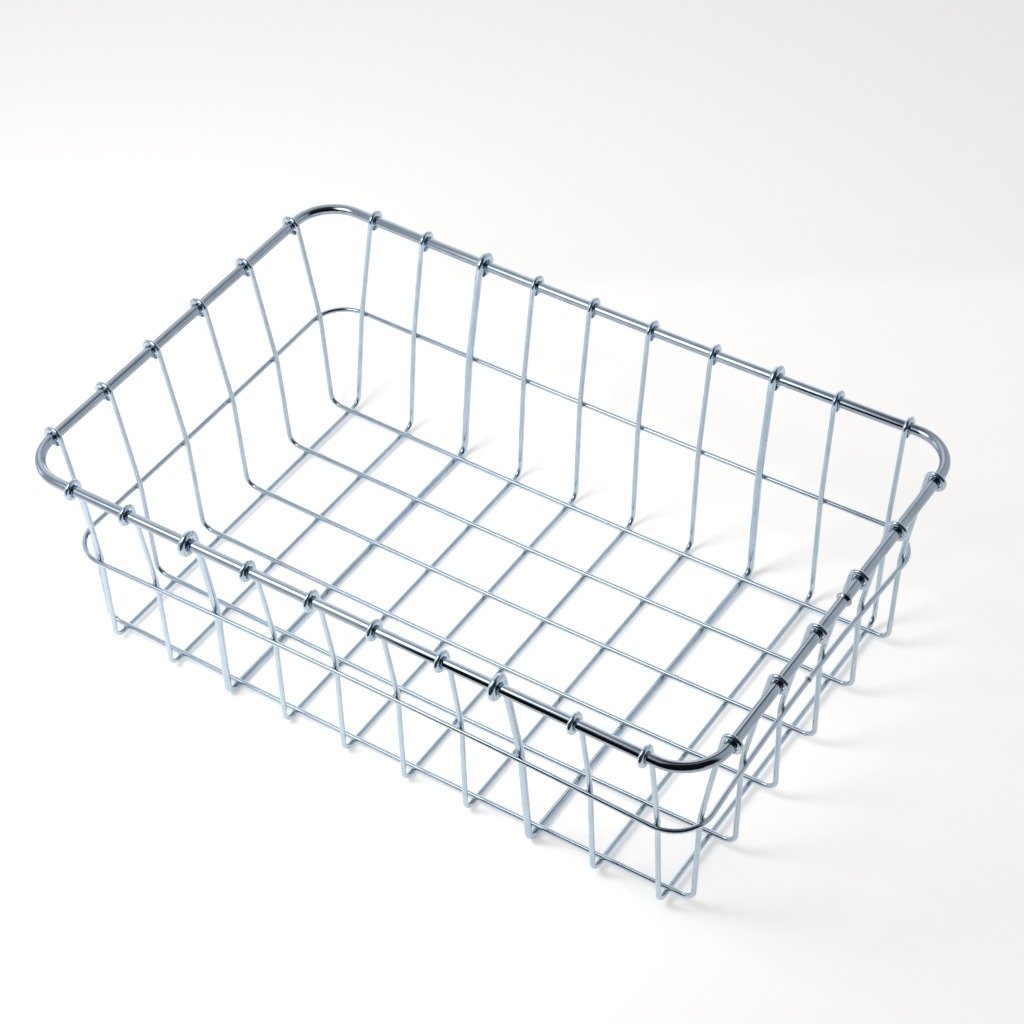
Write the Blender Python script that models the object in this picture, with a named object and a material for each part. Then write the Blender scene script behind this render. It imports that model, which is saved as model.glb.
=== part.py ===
"""A handlebar basket for a bicycle, welded from bare zinc-plated steel wire.

Ten cross wires and six long wires, each bent to a U, cross each other to make the floor and
the four walls. Every wire ends in a hook that is closed round a thick rim rod, and one thin
band runs round the outside of the walls at mid height. Two of the cross wires are heavier:
they carry the load and stand lowest, so the basket rests on them.

Metres, +Z up. X runs along the long side and Y from the front wall to the back wall. The
origin is on the ground under the middle of the basket.
"""
import math

import bpy
from mathutils import Matrix, Vector

# Wire and rod diameters. Two pieces that are welded to each other keep WELD_GAP between them.
RIM_ROD = 0.0053
HEAVY_WIRE = 0.0037
WALL_WIRE = 0.0026
BAND_WIRE = 0.0026
WELD_GAP = 0.0003

# The rim, measured along the middle of its rod.
RIM_LENGTH = 0.3698
RIM_WIDTH = 0.2402
RIM_HEIGHT = 0.1214
RIM_CORNER = 0.0225

# The wires of the grid, and how far the outermost hooks stay from the rim's corner bends.
CROSS_COUNT = 10
LONG_COUNT = 6
HEAVY_NUMBERS = (3, 8)
CROSS_HOOK_INSET = 0.0050
LONG_HOOK_INSET = 0.0027
# Where the wires were set down on the floor: the long ones a little towards the front, and the
# cross ones a little to the left and askew.
LONG_WIRE_SHIFT = -0.0012
CROSS_WIRE_SHIFT = -0.0013
CROSS_WIRE_SKEW = -0.0008

# The walls: the bend off the floor, the flat floor left between it and the outermost wire
# there, and how far the lower half of each wall leans out on its way up to the band.
FLOOR_BEND = 0.0060
LONG_WALL_LAND = 0.0002
END_WALL_LAND = 0.0022
LONG_WALL_LEAN = 0.0037
END_WALL_LEAN = 0.0025
WALL_BEND = 0.0400
BAND_HEIGHT = 0.0642
BAND_CORNER = 0.0190

# What the welding pulled out of true: how far the middle of a side is drawn in, and how far the
# middle of the floor sags. Each fades out towards the corners.
RIM_BOW_BACK = 0.0020
BAND_BOW_FRONT = 0.0020
BAND_BOW_BACK = 0.0011
BAND_BOW_LEFT = 0.0006
BAND_BOW_RIGHT = 0.0027
FLOOR_SAG = 0.0023

# Each hook stops short of its own wall wire by HOOK_OPENING. Some hooks were closed a little
# to one side along the rim: wire number and distance, as a share of the pitch of those wires.
HOOK_OPENING = 0.0008
FRONT_HOOK_SLIDE = {1: 0.12, 2: 0.043, 3: 0.066, 4: 0.034, 5: 0.049, 6: 0.031, 7: 0.054, 8: -0.12}
BACK_HOOK_SLIDE = {1: 0.212, 2: 0.143, 3: 0.18, 4: 0.089, 5: 0.046, 6: 0.02, 7: 0.026, 9: -0.054}
LEFT_HOOK_SLIDE = {3: -0.034, 4: -0.045, 5: -0.053}
RIGHT_HOOK_SLIDE = {1: 0.024, 2: 0.074, 4: 0.021, 5: -0.024, 6: -0.016}

# The rim and the band are closed by butt welds on the right side, which leave a raised ring.
RIM_WELD_AT = 0.0040
RIM_WELD_RING = 0.0076
RIM_WELD_LENGTH = 0.0036
BAND_WELD_AT = 0.0015
BAND_WELD_RING = 0.0036
BAND_WELD_LENGTH = 0.0040

# Colour and roughness of the zinc plate on each kind of wire.
RIM_PLATE = ((0.42, 0.43, 0.46), 0.16)
BAND_PLATE = ((0.50, 0.56, 0.61), 0.24)
CROSS_PLATE = ((0.52, 0.58, 0.63), 0.26)
HEAVY_PLATE = ((0.50, 0.55, 0.60), 0.24)
LONG_PLATE = ((0.51, 0.57, 0.62), 0.26)

# How finely the round shapes are faceted.
ROD_SIDES = 12
WIRE_SIDES = 8
HOOK_STEPS = 12
BEND_STEPS = 4
CORNER_STEPS = 6
RING_STEPS = 6
BOW_STEPS = 8

# Heights of the wire middles on the floor. The cross wires are level on top, where the long
# wires lie on them, so the heavy ones reach lowest, down to the ground.
LONG_WIRE_HEIGHT = HEAVY_WIRE + WELD_GAP + WALL_WIRE / 2

# The reach of each family of wires to either side of its middle, along the rim.
CROSS_REACH = RIM_LENGTH / 2 - RIM_CORNER - CROSS_HOOK_INSET
LONG_REACH = RIM_WIDTH / 2 - RIM_CORNER - LONG_HOOK_INSET
CROSS_PITCH = 2 * CROSS_REACH / (CROSS_COUNT - 1)
LONG_PITCH = 2 * LONG_REACH / (LONG_COUNT - 1)

# Outer faces of the walls at the floor and at the band, as distances from the middle.
OUTER_CROSS_EDGE = CROSS_REACH + abs(CROSS_WIRE_SHIFT) + abs(CROSS_WIRE_SKEW) + WALL_WIRE / 2
OUTER_LONG_EDGE = LONG_REACH + abs(LONG_WIRE_SHIFT) + WALL_WIRE / 2
END_WALL_FOOT = OUTER_CROSS_EDGE + END_WALL_LAND + FLOOR_BEND + WALL_WIRE / 2
LONG_WALL_FOOT = OUTER_LONG_EDGE + LONG_WALL_LAND + FLOOR_BEND + WALL_WIRE / 2
END_WALL_WAIST = END_WALL_FOOT + END_WALL_LEAN
LONG_WALL_WAIST = LONG_WALL_FOOT + LONG_WALL_LEAN

# The band lies against the outside of the walls.
BAND_HALF_LENGTH = END_WALL_WAIST + WELD_GAP + BAND_WIRE / 2
BAND_HALF_WIDTH = LONG_WALL_WAIST + WELD_GAP + BAND_WIRE / 2

# How far from the middle each bowed side ends, where its corner begins.
RIM_REACH = RIM_LENGTH / 2 - RIM_CORNER
BAND_REACH_ALONG = BAND_HALF_LENGTH - BAND_CORNER
BAND_REACH_ACROSS = BAND_HALF_WIDTH - BAND_CORNER


def clear_scene():
    """Remove whatever the file was opened with."""
    for item in list(bpy.data.objects):
        bpy.data.objects.remove(item, do_unlink=True)


def zinc_plate(name, plate):
    """Zinc-plated steel: a metal of the given colour and roughness."""
    colour, roughness = plate
    material = bpy.data.materials.new(name)
    material.use_nodes = True
    shader = material.node_tree.nodes["Principled BSDF"]
    shader.inputs["Base Color"].default_value = (*colour, 1.0)
    shader.inputs["Metallic"].default_value = 1.0
    shader.inputs["Roughness"].default_value = roughness
    material.diffuse_color = (*colour, 1.0)
    return material


def arc(centre, start, turn, steps):
    """Points from start round centre, through the angle turn, whose chords touch the arc."""
    spoke = start - centre
    step = turn / steps
    reach = 1 / math.cos(step / 2)
    corners = [
        centre + Matrix.Rotation(step * (number + 0.5), 2) @ spoke * reach
        for number in range(steps)
    ]
    return [start, *corners, centre + Matrix.Rotation(turn, 2) @ spoke]


def rounded_corner(before, corner, after, radius, steps):
    """The arc that rounds the corner of the path before, corner, after."""
    back = (before - corner).normalized()
    onward = (after - corner).normalized()
    half_angle = back.angle(onward) / 2
    start = corner + back * (radius / math.tan(half_angle))
    centre = corner + (back + onward).normalized() * (radius / math.sin(half_angle))
    turn = math.pi - 2 * half_angle
    left_turn = onward.x * back.y - onward.y * back.x > 0
    return arc(centre, start, turn if left_turn else -turn, steps)


def hook(foot, rim_middle, wire):
    """The hook that closes round the rim, for a wall that comes up from foot inside it.

    The wall touches the hook's circle on its inner side. From there the hook goes over the
    rim, down its outside and back under it, until HOOK_OPENING is left to the wall.
    """
    radius = RIM_ROD / 2 + WELD_GAP + wire / 2
    upward = rim_middle - foot
    sine = radius / upward.length
    upward.normalize()
    inward = Vector((-upward.y, upward.x))
    start = rim_middle + radius * (math.sqrt(1 - sine * sine) * inward - sine * upward)
    tip_distance = radius - wire / 2 - HOOK_OPENING
    left_open = math.acos(tip_distance / (radius + wire / 2))
    return arc(rim_middle, start, left_open - 2 * math.pi, HOOK_STEPS)


def bow(place, reach, depth):
    """How far in a side is drawn at place, when its middle is drawn in by depth."""
    return depth * (1 - (place / reach) ** 2)


def drawn_in(place, reach, depth):
    """How far in the band lies at place: by its bow, and past reach by the start of its corner."""
    past = max(abs(place) - reach, 0.0)
    cut = BAND_CORNER - math.sqrt(BAND_CORNER ** 2 - past ** 2)
    return cut if past else bow(place, reach, depth)


def cross_place(number):
    """Place of a cross wire along the rim, before its hooks slide or its floor shifts."""
    return (number - (CROSS_COUNT + 1) / 2) * CROSS_PITCH


def floor_rise(place):
    """How much higher the sagging floor is at place than at the heavy wires."""
    heavy_place = cross_place(HEAVY_NUMBERS[-1])
    return bow(heavy_place, END_WALL_FOOT, FLOOR_SAG) - bow(place, END_WALL_FOOT, FLOOR_SAG)


def wall_profile(wire, floor, foot, foot_height, waist, rim_half):
    """Half a wire, from the end of its floor stretch up the wall to the tip of its hook.

    The points are (distance out from the middle, height), and floor is the last one on the
    floor. foot and waist are the distances of the wall's outer face at the floor and the band.
    """
    corner = Vector((foot - wire / 2, foot_height))
    at_band = Vector((waist - wire / 2, BAND_HEIGHT))
    hooked = hook(at_band, Vector((rim_half, RIM_HEIGHT)), wire)
    points = rounded_corner(floor, corner, at_band, FLOOR_BEND, BEND_STEPS)
    points += rounded_corner(corner, at_band, hooked[0], WALL_BEND, 1)
    return points, hooked


def lean(height, floor_height, hook_height, at_floor, at_hook):
    """Place along the rim of a wall wire that leans from at_floor to at_hook."""
    share = (height - floor_height) / (hook_height - floor_height)
    return at_floor + (at_hook - at_floor) * share


def half_wire(wire, floor, foot, foot_height, waist, rim_half, at_floor, at_hook):
    """(place along the rim, distance out, height) from the floor to the tip of the hook."""
    wall, hooked = wall_profile(wire, floor, foot, foot_height, waist, rim_half)
    top = hooked[0].y
    points = [(lean(p.y, wall[0].y, top, at_floor, at_hook), p.x, p.y) for p in wall]
    return points + [(at_hook, p.x, p.y) for p in hooked]


def cross_wire_path(number):
    """Path of a U-shaped wire from its front hook to its back hook, and its diameter."""
    wire = HEAVY_WIRE if number in HEAVY_NUMBERS else WALL_WIRE
    place = cross_place(number)
    height = HEAVY_WIRE - wire / 2 + floor_rise(place)

    def half(at_floor, at_hook, band_bow, rim_bow):
        waist = LONG_WALL_WAIST - drawn_in((at_floor + at_hook) / 2, BAND_REACH_ALONG, band_bow)
        rim_half = RIM_WIDTH / 2 - bow(at_hook, RIM_REACH, rim_bow)
        floor = Vector((0, height))
        return half_wire(wire, floor, LONG_WALL_FOOT, height, waist, rim_half, at_floor, at_hook)

    at_floor = place + CROSS_WIRE_SHIFT
    front_hook = place + FRONT_HOOK_SLIDE.get(number, 0) * CROSS_PITCH
    back_hook = place + BACK_HOOK_SLIDE.get(number, 0) * CROSS_PITCH
    front = half(at_floor + CROSS_WIRE_SKEW, front_hook, BAND_BOW_FRONT, 0)
    back = half(at_floor, back_hook, BAND_BOW_BACK, RIM_BOW_BACK)
    path = [(along, -out, up) for along, out, up in reversed(front)]
    return path + back, wire


def floor_crossings(place):
    """Middles of a long wire where it lies on the cross wires, on the line along the rim."""
    share = (LONG_WALL_FOOT + place) / (2 * LONG_WALL_FOOT)
    aside = CROSS_WIRE_SHIFT + CROSS_WIRE_SKEW * (1 - share)
    crossed = [cross_place(number) for number in range(1, CROSS_COUNT + 1)]
    return [Vector((at + aside, LONG_WIRE_HEIGHT + floor_rise(at))) for at in crossed]


def long_wire_path(number):
    """Path of a U-shaped wire from its left hook to its right hook."""
    place = (number - (LONG_COUNT + 1) / 2) * LONG_PITCH + LONG_WIRE_SHIFT
    crossings = floor_crossings(place)
    foot_height = LONG_WIRE_HEIGHT + floor_rise(END_WALL_FOOT)

    def half(floor, at_hook, band_bow):
        waist = END_WALL_WAIST - drawn_in((place + at_hook) / 2, BAND_REACH_ACROSS, band_bow)
        shape = (WALL_WIRE, floor, END_WALL_FOOT, foot_height, waist, RIM_LENGTH / 2)
        return half_wire(*shape, place, at_hook)

    first, last = crossings[0], crossings[-1]
    left_hook = place + LEFT_HOOK_SLIDE.get(number, 0) * LONG_PITCH
    right_hook = place + RIGHT_HOOK_SLIDE.get(number, 0) * LONG_PITCH
    left = half(Vector((-first.x, first.y)), left_hook, BAND_BOW_LEFT)
    right = half(last, right_hook, BAND_BOW_RIGHT)
    path = [(-out, along, up) for along, out, up in reversed(left)]
    path += [(crossing.x, place, crossing.y) for crossing in crossings]
    return path + [(out, along, up) for along, out, up in right]


def side_places(reach, depth, ring=()):
    """Places along a side that get a point: those of a weld's ring, and steps along a bow."""
    steps = [reach * (2 * number / BOW_STEPS - 1) for number in range(1, BOW_STEPS)] if depth else []
    clear = [step for step in steps if not ring or not ring[0] < step < ring[-1]]
    return sorted([*clear, *ring])


def loop_path(half_length, half_width, corner, height, bows, ring):
    """A level rectangle with round corners, from the right side round by the back.

    bows are how far the right, back, left and front sides are drawn in at their middle, and
    ring holds the places of the weld's ring on the right side. The second list returned holds
    the place on the right side of each point there, and None for every other point.
    """
    path, on_right_side = [], []
    for quarter, depth in enumerate(bows):
        turn = Matrix.Rotation(quarter * math.pi / 2, 2)
        outward, onward = turn @ Vector((1, 0)), turn @ Vector((0, 1))
        out, across = (half_width, half_length) if quarter % 2 else (half_length, half_width)
        reach = across - corner
        places = side_places(reach, depth, () if quarter else ring)
        path += [outward * (out - bow(place, reach, depth)) + onward * place for place in places]
        on_right_side += [None if quarter else place for place in places]
        centre = outward * (out - corner) + onward * reach
        bend = arc(centre, centre + outward * corner, math.pi / 2, CORNER_STEPS)
        path += bend
        on_right_side += [None] * len(bend)
    return [(point.x, point.y, height) for point in path], on_right_side


def swelling(place, weld_at, length, swell):
    """How much thicker than the rod the ring of a butt weld is at a place on the right side."""
    share = (place - weld_at) / (length / 2)
    return 1 + (swell - 1) * (1 + math.cos(math.pi * share)) / 2 if abs(share) < 1 else 1.0


def levelling_turn(path):
    """The turn that makes the section of a wire level on its floor, which has its longest run.

    A wall that leans sideways turns the section a little, because a curve carries it along
    from its first point without twist.
    """
    points = [Vector(place) for place in path]
    runs = [after - before for before, after in zip(points, points[1:])]
    floor = max(range(len(runs)), key=lambda number: runs[number].xy.length)
    ways = [run.normalized() for run in runs]
    bisectors = [before + after for before, after in zip(ways[:floor], ways[1:])]
    carried = [ways[0], *bisectors, ways[floor]]
    side = Vector((0, 0, 1)).cross(ways[0]).normalized()
    for before, after in zip(carried, carried[1:]):
        side.rotate(before.rotation_difference(after))
    return math.atan2(side.z, side.cross(ways[floor]).z)


def add_wire(name, path, diameter, sides, material, collection, sizes=None, closed=False):
    """A wire along path. Its flats lie on the round wire, and one of them faces straight down."""
    tilt = math.pi / sides + (0.0 if closed else levelling_turn(path))
    curve = bpy.data.curves.new(name, "CURVE")
    curve.dimensions = "3D"
    curve.bevel_depth = diameter / 2 / math.cos(math.pi / sides)
    curve.bevel_resolution = (sides - 4) // 2
    curve.use_fill_caps = not closed
    spline = curve.splines.new("POLY")
    spline.points.add(len(path) - 1)
    spline.use_cyclic_u = closed
    for number, (point, place) in enumerate(zip(spline.points, path)):
        point.co = (*place, 1.0)
        point.tilt = tilt
        point.radius = sizes[number] if sizes else 1.0
    curve.materials.append(material)
    wire = bpy.data.objects.new(name, curve)
    collection.objects.link(wire)
    return wire


def add_loop(name, shape, bows, rod, sides, weld, material, collection):
    """A rod bent to a closed loop, with the ring of its butt weld on the right side."""
    weld_at, ring_diameter, ring_length = weld
    shares = [number / RING_STEPS - 0.5 for number in range(RING_STEPS + 1)]
    ring = [weld_at + share * ring_length for share in shares]
    path, on_right_side = loop_path(*shape, bows, ring)
    sizes = [
        1.0 if place is None else swelling(place, weld_at, ring_length, ring_diameter / rod)
        for place in on_right_side
    ]
    return add_wire(name, path, rod, sides, material, collection, sizes, closed=True)


def build_rim(collection):
    """The thick rod round the top, which all the hooks are closed on."""
    weld = (RIM_WELD_AT, RIM_WELD_RING, RIM_WELD_LENGTH)
    plate = zinc_plate("rim_zinc", RIM_PLATE)
    shape = (RIM_LENGTH / 2, RIM_WIDTH / 2, RIM_CORNER, RIM_HEIGHT)
    bows = (0, RIM_BOW_BACK, 0, 0)
    return add_loop("rim", shape, bows, RIM_ROD, ROD_SIDES, weld, plate, collection)


def build_band(collection):
    """The thin wire loop that ties the walls together at mid height, from outside."""
    weld = (BAND_WELD_AT, BAND_WELD_RING, BAND_WELD_LENGTH)
    plate = zinc_plate("band_zinc", BAND_PLATE)
    shape = (BAND_HALF_LENGTH, BAND_HALF_WIDTH, BAND_CORNER, BAND_HEIGHT)
    bows = (BAND_BOW_RIGHT, BAND_BOW_BACK, BAND_BOW_LEFT, BAND_BOW_FRONT)
    return add_loop("mid_band", shape, bows, BAND_WIRE, WIRE_SIDES, weld, plate, collection)


def build_cross_wires(collection):
    """The U-shaped wires that run from front to back. Two of them are heavy."""
    thin = zinc_plate("cross_wire_zinc", CROSS_PLATE)
    thick = zinc_plate("heavy_wire_zinc", HEAVY_PLATE)
    for number in range(1, CROSS_COUNT + 1):
        path, wire = cross_wire_path(number)
        heavy = number in HEAVY_NUMBERS
        name = f"heavy_cross_wire_{number}" if heavy else f"cross_wire_{number}"
        add_wire(name, path, wire, WIRE_SIDES, thick if heavy else thin, collection)


def build_long_wires(collection):
    """The U-shaped wires that run from left to right, over the cross wires."""
    plate = zinc_plate("long_wire_zinc", LONG_PLATE)
    for number in range(1, LONG_COUNT + 1):
        path = long_wire_path(number)
        add_wire(f"long_wire_{number}", path, WALL_WIRE, WIRE_SIDES, plate, collection)


def main():
    """Build the basket in a collection of its own."""
    clear_scene()
    basket = bpy.data.collections.new("handlebar_basket")
    bpy.context.scene.collection.children.link(basket)
    build_rim(basket)
    build_band(basket)
    build_cross_wires(basket)
    build_long_wires(basket)


main()
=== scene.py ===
# %% [markdown]
# # A handlebar basket of welded wire
#
# This is a lesson in making thin bright metal look right. The object is a bicycle basket:
# sixteen wires bent to a U and hooked round a thick rim rod, with one thin band round the
# walls. There is almost nothing to it but round wire, so the picture stands or falls on two
# things: the exact bends of the wires, and what their shiny zinc surface mirrors.
#
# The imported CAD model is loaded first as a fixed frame. Each of its wires is faceted, so each
# is replaced here by a truly round one with the same path, its weld marks and its finish.

# %% Load the frame
import math

import bpy
import numpy as np
from mathutils import Matrix, Vector


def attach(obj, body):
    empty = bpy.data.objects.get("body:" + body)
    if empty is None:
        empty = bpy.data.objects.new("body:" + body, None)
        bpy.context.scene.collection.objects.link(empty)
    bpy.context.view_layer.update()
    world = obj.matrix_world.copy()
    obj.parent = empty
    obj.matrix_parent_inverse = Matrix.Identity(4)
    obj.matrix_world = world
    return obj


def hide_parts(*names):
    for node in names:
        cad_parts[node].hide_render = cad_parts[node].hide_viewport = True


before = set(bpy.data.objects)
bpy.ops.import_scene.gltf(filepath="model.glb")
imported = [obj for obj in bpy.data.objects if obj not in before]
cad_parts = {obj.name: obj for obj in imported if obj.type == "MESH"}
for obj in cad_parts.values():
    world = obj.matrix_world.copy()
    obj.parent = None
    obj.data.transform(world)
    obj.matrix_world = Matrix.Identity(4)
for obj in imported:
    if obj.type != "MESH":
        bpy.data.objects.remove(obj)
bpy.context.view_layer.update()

# %% [markdown]
# ## The camera
#
# The picture is taken from the front right, looking down at about 44 degrees, with a long
# lens, so far edges are hardly smaller than near ones. A camera could be turned by three
# angles, but a place, a point that it looks at and a small roll say more to a reader. The
# floor of the basket has square corners, so two of its sides fix all of these.

# %% Camera
CAMERA_PLACE = Vector((0.53389, -0.75722, 0.97363))
CAMERA_AIM = Vector((-0.01288, 0.03554, 0.05))
CAMERA_ROLL = math.radians(-2.179)
LENS_MM, SENSOR_MM = 94.473, 36.0
NEAREST, FARTHEST = 0.05, 60.0

camera_data = bpy.data.cameras.new("camera")
camera_data.lens, camera_data.sensor_width = LENS_MM, SENSOR_MM
camera_data.clip_start, camera_data.clip_end = NEAREST, FARTHEST
camera = bpy.data.objects.new("camera", camera_data)
towards = (CAMERA_AIM - CAMERA_PLACE).to_track_quat("-Z", "Y").to_matrix().to_4x4()
rolled = Matrix.Rotation(CAMERA_ROLL, 4, "Z")
camera.matrix_world = Matrix.Translation(CAMERA_PLACE) @ towards @ rolled
bpy.context.scene.collection.objects.link(camera)
bpy.context.scene.camera = camera
bpy.context.scene.view_settings.view_transform = "Standard"
print("camera distance in m", round((CAMERA_AIM - CAMERA_PLACE).length, 3))

# %% [markdown]
# ## Two small tools for materials
#
# Colours are written as they are seen, as sRGB hex, and one function turns them to the linear
# values that the renderer works in. One more function adds a node, sets what differs from its
# defaults and joins its inputs, which keeps every material below to a few readable lines. A
# Mix node has a set of sockets for each kind of value, all with the same names, so those for
# colours are reached by their numbers.

# %% Colour and node tools
MIX_SHARE, MIX_FIRST, MIX_SECOND, MIXED = 0, 6, 7, 2


def linear(hex_colour):
    """The linear colour of an sRGB hex value: each channel is divided by 12.92 when it is very
    dark, and is otherwise raised to the power 2.4 after the standard offset."""
    seen = np.array([int(hex_colour[place:place + 2], 16) for place in (0, 2, 4)]) / 255
    light = np.where(seen <= 0.04045, seen / 12.92, ((seen + 0.055) / 1.055) ** 2.4)
    return (*light.tolist(), 1.0)


def add_node(tree, kind, inputs=None, **settings):
    """A node of that kind. settings are its own properties, and inputs maps a socket to a value
    or to the output socket that feeds it."""
    node = tree.nodes.new(kind)
    for name, value in settings.items():
        setattr(node, name, value)
    for socket, value in (inputs or {}).items():
        if isinstance(value, bpy.types.NodeSocket):
            tree.links.new(value, node.inputs[socket])
        else:
            node.inputs[socket].default_value = value
    return node


print("mid grey 808080 is linear", round(linear("808080")[0], 3))

# %% [markdown]
# ## The room that the metal mirrors
#
# Zinc plate has hardly any colour of its own to show. It mirrors the room in long thin
# streaks, and that is what makes it read as metal. The far parts of the room are a bright
# window side on the left, grey walls, and a dark end on the right where the photographer
# stands. One could build a whole room, but it would get in the way as soon as somebody looks
# from another side. Here they are soft-edged regions of the world that only reflections see.
# Each is a smooth step of the cosine between a direction and an axis, painted over the ones
# before it.
#
# Matt surfaces get one even soft light from all sides instead, and the camera sees a plain
# surround as pale as the far paper, so that no horizon shows from the side.

# %% World
SURROUND = linear("DEDDDC")
SOFT_LIGHT, SOFT_COLOUR = 0.50, (1.0, 1.0, 1.0, 1.0)
ROOM_WALLS = (0.60, 0.62, 0.64, 1.0)
# Each region: its brightness, its axis, and the cosines where it begins and is full.
ROOM_REGIONS = {
    "dark end": ((0.012, 0.012, 0.014, 1.0), (0.92, -0.35, 0.20), 0.15, 0.30),
    "grey back wall": (ROOM_WALLS, (0.30, 0.95, 0.05), 0.30, 0.48),
    "window side": ((2.85, 2.87, 2.90, 1.0), (-0.91, 0.42, -0.01), 0.55, 0.75),
    "wall over it": ((0.53, 0.54, 0.56, 1.0), (-0.82, 0.32, 0.48), 0.52, 1.00),
    "pale back corner": ((1.18, 1.21, 1.24, 1.0), (-0.67, 0.45, 0.59), 0.89, 1.00),
    "right back wall": ((0.71, 0.73, 0.76, 1.0), (0.46, 0.87, 0.17), 0.74, 0.86),
}

world = bpy.data.worlds.new("studio")
bpy.context.scene.world = world
world.use_nodes = True
room = world.node_tree
room.nodes.clear()
direction = add_node(room, "ShaderNodeTexCoord").outputs["Generated"]
mirrored = ROOM_WALLS
for region, (brightness, axis, begins, full) in ROOM_REGIONS.items():
    facing = {0: direction, 1: Vector(axis).normalized()}
    cosine = add_node(room, "ShaderNodeVectorMath", facing, operation="DOT_PRODUCT").outputs["Value"]
    edge = {"Value": cosine, "From Min": begins, "From Max": full}
    share = add_node(room, "ShaderNodeMapRange", edge, interpolation_type="SMOOTHSTEP", label=region)
    painted = {MIX_SHARE: share.outputs["Result"], MIX_FIRST: mirrored, MIX_SECOND: brightness}
    mirrored = add_node(room, "ShaderNodeMix", painted, data_type="RGBA").outputs[MIXED]
rays = add_node(room, "ShaderNodeLightPath").outputs
reflected = add_node(room, "ShaderNodeBackground", {"Color": mirrored}).outputs[0]
seen = add_node(room, "ShaderNodeBackground", {"Color": SURROUND}).outputs[0]
soft = add_node(room, "ShaderNodeBackground", {"Color": SOFT_COLOUR, "Strength": SOFT_LIGHT}).outputs[0]
lit = add_node(room, "ShaderNodeMixShader", {0: rays["Is Glossy Ray"], 1: soft, 2: reflected}).outputs[0]
shown = add_node(room, "ShaderNodeMixShader", {0: rays["Is Camera Ray"], 1: lit, 2: seen}).outputs[0]
add_node(room, "ShaderNodeOutputWorld", {"Surface": shown})
world.cycles.sampling_method = "NONE"
print("room regions:", ", ".join(ROOM_REGIONS))

# %% [markdown]
# ## The key lamp
#
# One soft lamp hangs close over the front left of the basket. A sun lamp would give the same
# shadows all over the table, but here they fan out: each right-hand bend throws a short dark
# streak away from the lamp, and the back rim a broad soft one. So the lamp is a real panel at
# its real place, and it also makes the paper fall off from white on the left to pale grey on
# the right. What the metal mirrors of it is a card, below, so the lamp itself is kept out of
# reflections.

# %% Key lamp
# The panel's lower and upper edge as places along Y and height, then its left and right edge.
KEY_LOW, KEY_HIGH = (-0.372, 0.349), (-0.188, 0.715)
KEY_LEFT, KEY_RIGHT = -0.376, -0.069
KEY_WATTS = 3.35

key_low, key_high = Vector((0.0, *KEY_LOW)), Vector((0.0, *KEY_HIGH))
key_rise = (key_high - key_low).normalized()
key_data = bpy.data.lights.new("key_lamp", "AREA")
key_data.shape = "RECTANGLE"
key_data.size, key_data.size_y = KEY_RIGHT - KEY_LEFT, (key_high - key_low).length
key_data.energy = KEY_WATTS
key = bpy.data.objects.new("key_lamp", key_data)
# A lamp shines along its own -Z, here back and down at the basket.
key.matrix_world = Vector((0.0, -key_rise.z, key_rise.y)).to_track_quat("Z", "Y").to_matrix().to_4x4()
key.location = (key_low + key_high) / 2 + Vector(((KEY_LEFT + KEY_RIGHT) / 2, 0.0, 0.0))
key.visible_glossy = False
bpy.context.scene.collection.objects.link(key)
print("key lamp hangs", round(1000 * key.location.z), "mm over the table")

# %% [markdown]
# ## The table
#
# The basket stands on a sheet of white paper. The paper could simply be bright, but then the
# shadows would go too: here most of its brightness is light that it receives, which a shadow
# takes away, and the rest is added for the rays that see it. Inside the basket the photograph
# is so bright that the shadows of the floor wires drown in white, so the camera sees a little
# more light there. Behind the basket, where the real sheet begins to rise, this flat sheet is
# given a painted shade: its colour is made a little darker there.

# %% Paper
PAPER_WHITE, PAPER_OWN_LIGHT, PAPER_REACH = linear("F4F3F2"), 0.31, 9.0
# The extra light inside the basket, and how far from the middle it begins to fade and is gone.
# Its fading counts a metre along X as that share of a metre.
GLARE, GLARE_FADES, GLARE_ALONG = 0.22, (0.055, 0.125), 0.62
# A painted shade where the real paper would begin to rise behind the basket: a direction, its
# distance and its softness, and how bright the paper's colour is still painted there.
SWEEP_WAY, SWEEP_AT, SWEEP_SOFT, SWEEP_PAINTED_SHADE_SHARE = (-0.547, 0.837, 0.0), 0.277, 0.015, 0.955

paper = bpy.data.materials.new("white_paper")
paper.use_nodes = True
sheet = paper.node_tree
sheet.nodes.clear()
place = add_node(sheet, "ShaderNodeTexCoord").outputs["Object"]
# The paper's colour carries a painted shade: behind that line it is scaled a little darker.
behind = add_node(sheet, "ShaderNodeVectorMath", {0: place, 1: SWEEP_WAY}, operation="DOT_PRODUCT")
step_settings = {"Value": behind.outputs["Value"], "From Min": SWEEP_AT - SWEEP_SOFT,
          "From Max": SWEEP_AT + SWEEP_SOFT, "To Min": 1.0, "To Max": SWEEP_PAINTED_SHADE_SHARE}
share = add_node(sheet, "ShaderNodeMapRange", step_settings, interpolation_type="SMOOTHSTEP").outputs[0]
toned = {0: PAPER_WHITE[:3], "Scale": share}
tone = add_node(sheet, "ShaderNodeVectorMath", toned, operation="SCALE").outputs[0]
rays = add_node(sheet, "ShaderNodeLightPath").outputs
seen = rays["Is Camera Ray"]
for kind in ("Is Glossy Ray", "Is Transmission Ray"):
    seen = add_node(sheet, "ShaderNodeMath", {0: seen, 1: rays[kind]}, operation="MAXIMUM").outputs[0]
squeezed = {0: place, 1: (GLARE_ALONG, 1.0, 0.0)}
squeezed = add_node(sheet, "ShaderNodeVectorMath", squeezed, operation="MULTIPLY").outputs[0]
away = add_node(sheet, "ShaderNodeVectorMath", {0: squeezed}, operation="LENGTH").outputs["Value"]
fading = {"Value": away, "From Min": GLARE_FADES[0], "From Max": GLARE_FADES[1],
          "To Min": GLARE, "To Max": 0.0}
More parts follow.
